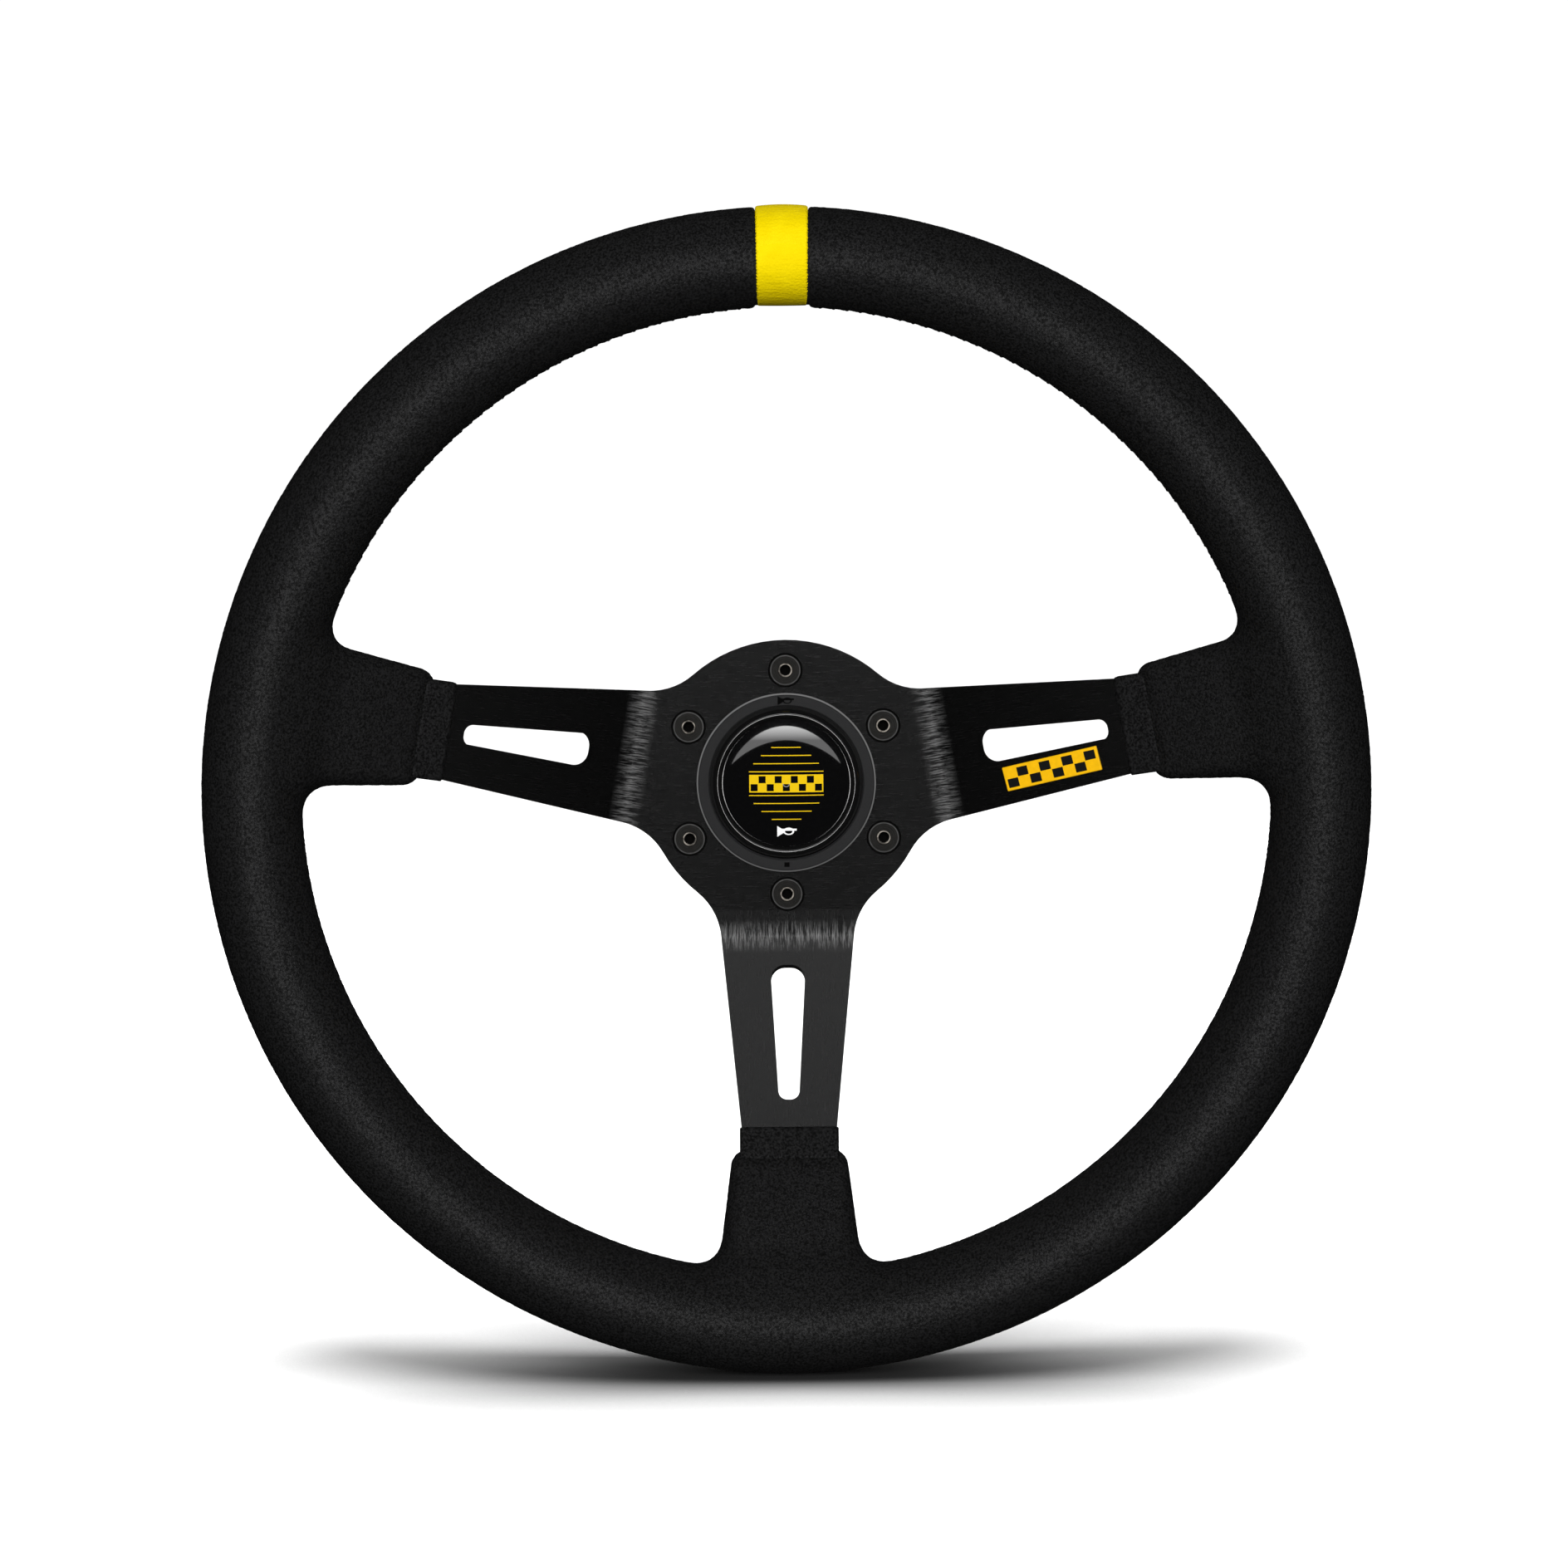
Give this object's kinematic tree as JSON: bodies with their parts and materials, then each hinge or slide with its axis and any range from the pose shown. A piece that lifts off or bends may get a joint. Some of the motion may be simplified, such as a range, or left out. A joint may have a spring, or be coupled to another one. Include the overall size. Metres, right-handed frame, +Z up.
{
  "type": "quick release steering wheel",
  "caption": "Dished three-spoke racing steering wheel with a padded rim, a centre mark, a push button for the horn and a sliding-collar ball-lock hub on its back.",
  "frame": {"origin": "centre of the mouth of the quick release socket, at the back of the wheel", "axes": "+Y along the steering axis, away from the driver; the driver faces the -Y side; +Z up with the wheel straight ahead"},
  "size_m": [0.35, 0.125, 0.35],
  "materials": {
    "satin_black_metal": "black anodised, finely brushed aluminium plate with lighter bends",
    "bare_steel": "bare steel bar and weld beads inside the grip",
    "foam": "moulded foam under the cover",
    "black_suede": "black suede with a fine short nap",
    "yellow_leather": "bright yellow leather strip, slightly wrinkled",
    "black_thread": "waxed black sewing thread",
    "yellow_print": "raised yellow badge resin",
    "black_steel_bolt": "black oxide bolt, worn lighter at its edges",
    "black_anodised": "black anodised aluminium, turned",
    "hard_steel": "ground and hardened steel",
    "bright_aluminium": "clear anodised turned aluminium with a knurled grip",
    "spring_steel": "oiled spring wire",
    "rubber_seal": "smooth black rubber",
    "black_plastic": "fine moulded black plastic",
    "gloss_black": "polished black plastic",
    "contact_brass": "plain brass contact"
  },
  "bodies": {
    "wheel": {"adapter": "black_anodised", "centre_mark": "yellow_leather", "collar_spring": "spring_steel", "collar_stop_ring": "spring_steel", "grip_cover_left": "black_suede", "grip_cover_right": "black_suede", "grip_foam": "foam", "hoop_welds": "bare_steel", "horn_contact_fixed": "contact_brass", "horn_housing": "black_plastic", "horn_ring": "black_anodised", "horn_spring": "spring_steel", "horn_terminals": "contact_brass", "pilot_seal": "rubber_seal", "rim_hoop": "bare_steel", "seam_thread": "black_thread", "socket_body": "hard_steel", "socket_bolts": "black_steel_bolt", "spoke_badge": "yellow_print", "spoke_frame": "satin_black_metal", "wheel_bolts": "black_steel_bolt"},
    "collar": {"release_collar": "bright_aluminium"},
    "horn_button": {"horn_cap": "gloss_black", "horn_contact_moving": "contact_brass", "horn_dome": "gloss_black"},
    "ball_1": {"lock_ball_1": "hard_steel"},
    "ball_2": {"lock_ball_2": "hard_steel"},
    "ball_3": {"lock_ball_3": "hard_steel"},
    "ball_4": {"lock_ball_4": "hard_steel"},
    "ball_5": {"lock_ball_5": "hard_steel"},
    "ball_6": {"lock_ball_6": "hard_steel"}
  },
  "joints": [
    {"name": "collar_pull", "type": "slide", "parent": "wheel", "child": "collar", "axis": [0, -1, 0], "range_m": [0, 0.008], "stiffness_N_per_m": 900, "springref_m": -0.004, "deforming": ["collar_spring"]},
    {"name": "horn_press", "type": "slide", "parent": "wheel", "child": "horn_button", "axis": [0, 1, 0], "range_m": [0, 0.0015], "stiffness_N_per_m": 2000, "springref_m": -0.002, "deforming": ["horn_spring"]},
    {"name": "ball_1_slide", "type": "slide", "parent": "wheel", "child": "ball_1", "axis": [0, 0, 1], "range_m": [0, 0.0012]},
    {"name": "ball_2_slide", "type": "slide", "parent": "wheel", "child": "ball_2", "axis": [-0.866, 0, 0.5], "range_m": [0, 0.0012]},
    {"name": "ball_3_slide", "type": "slide", "parent": "wheel", "child": "ball_3", "axis": [-0.866, 0, -0.5], "range_m": [0, 0.0012]},
    {"name": "ball_4_slide", "type": "slide", "parent": "wheel", "child": "ball_4", "axis": [0, 0, -1], "range_m": [0, 0.0012]},
    {"name": "ball_5_slide", "type": "slide", "parent": "wheel", "child": "ball_5", "axis": [0.866, 0, -0.5], "range_m": [0, 0.0012]},
    {"name": "ball_6_slide", "type": "slide", "parent": "wheel", "child": "ball_6", "axis": [0.866, 0, 0.5], "range_m": [0, 0.0012]}
  ],
  "couplings": [
    {"joint": "ball_1_slide", "follows": "collar_pull", "ratio": 0.15},
    {"joint": "ball_2_slide", "follows": "collar_pull", "ratio": 0.15},
    {"joint": "ball_3_slide", "follows": "collar_pull", "ratio": 0.15},
    {"joint": "ball_4_slide", "follows": "collar_pull", "ratio": 0.15},
    {"joint": "ball_5_slide", "follows": "collar_pull", "ratio": 0.15},
    {"joint": "ball_6_slide", "follows": "collar_pull", "ratio": 0.15}
  ]
}
